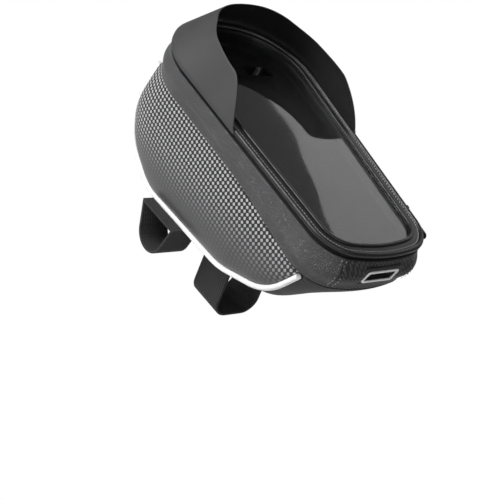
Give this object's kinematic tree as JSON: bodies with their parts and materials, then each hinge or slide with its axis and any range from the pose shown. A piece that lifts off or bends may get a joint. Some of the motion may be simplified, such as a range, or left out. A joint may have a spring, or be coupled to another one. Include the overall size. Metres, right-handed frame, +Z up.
{
  "type": "handlebar phone bag",
  "caption": "Moulded handlebar bag with a hinged zipped lid, a clear phone window under a sun visor, reflective piping, a cable outlet and strap loops below.",
  "frame": {"origin": "axis of the handlebar the bag sits on, at the bag's middle plane", "axes": "+X to the rider's right, +Y forward away from the rider along the bag's length, +Z up out of the lid"},
  "size_m": [0.1168, 0.2314, 0.1769],
  "materials": {
    "leather": "matt fine grain",
    "end_panel": "coarse woven",
    "carbon": "small raised weave pattern",
    "woven": "woven",
    "reflective": "white reflective",
    "zip": "matt",
    "hinge_fabric": "matt",
    "rubber": "satin",
    "port_frame": "bright",
    "pad": "matt",
    "strap": "hook and loop",
    "binding": "satin",
    "film": "clear soft film",
    "visor_shell": "matt smooth",
    "pocket_lining": "matt",
    "slider": "black"
  },
  "bodies": {
    "bag_body": {"upper_band": "leather", "end_panel": "end_panel", "side_shell_left": "carbon", "side_shell_right": "carbon", "spine_gusset": "woven", "reflective_piping_left": "reflective", "reflective_piping_right": "reflective", "zip_tape_lower": "zip", "hinge_strip": "hinge_fabric", "port_surround": "rubber", "port_frame": "port_frame", "port_flap": "rubber", "base_pad": "pad", "handlebar_strap_left": "strap", "handlebar_strap_right": "strap", "stem_strap": "strap"},
    "lid": {"lid_rim": "leather", "window_binding": "binding", "window_film": "film", "visor": "visor_shell", "zip_tape_upper": "zip", "phone_pocket": "pocket_lining", "pocket_tab": "strap"},
    "slider": {"zip_slider": "slider"},
    "puller": {"zip_puller": "slider"}
  },
  "joints": [
    {"name": "lid_hinge", "type": "hinge", "parent": "bag_body", "child": "lid", "pos_m": [0, -0.133, 0.10704], "axis": [1, 0, 0], "range_deg": [0, 100]},
    {"name": "zip_slide", "type": "slide", "parent": "bag_body", "child": "slider", "axis": [0.07, 0.9975, 0], "range_m": [0, 0.118]},
    {"name": "puller_hinge", "type": "hinge", "parent": "slider", "child": "puller", "pos_m": [0.05106, -0.09109, 0.10504], "axis": [0, 0, 1], "range_deg": [0, 165]}
  ]
}
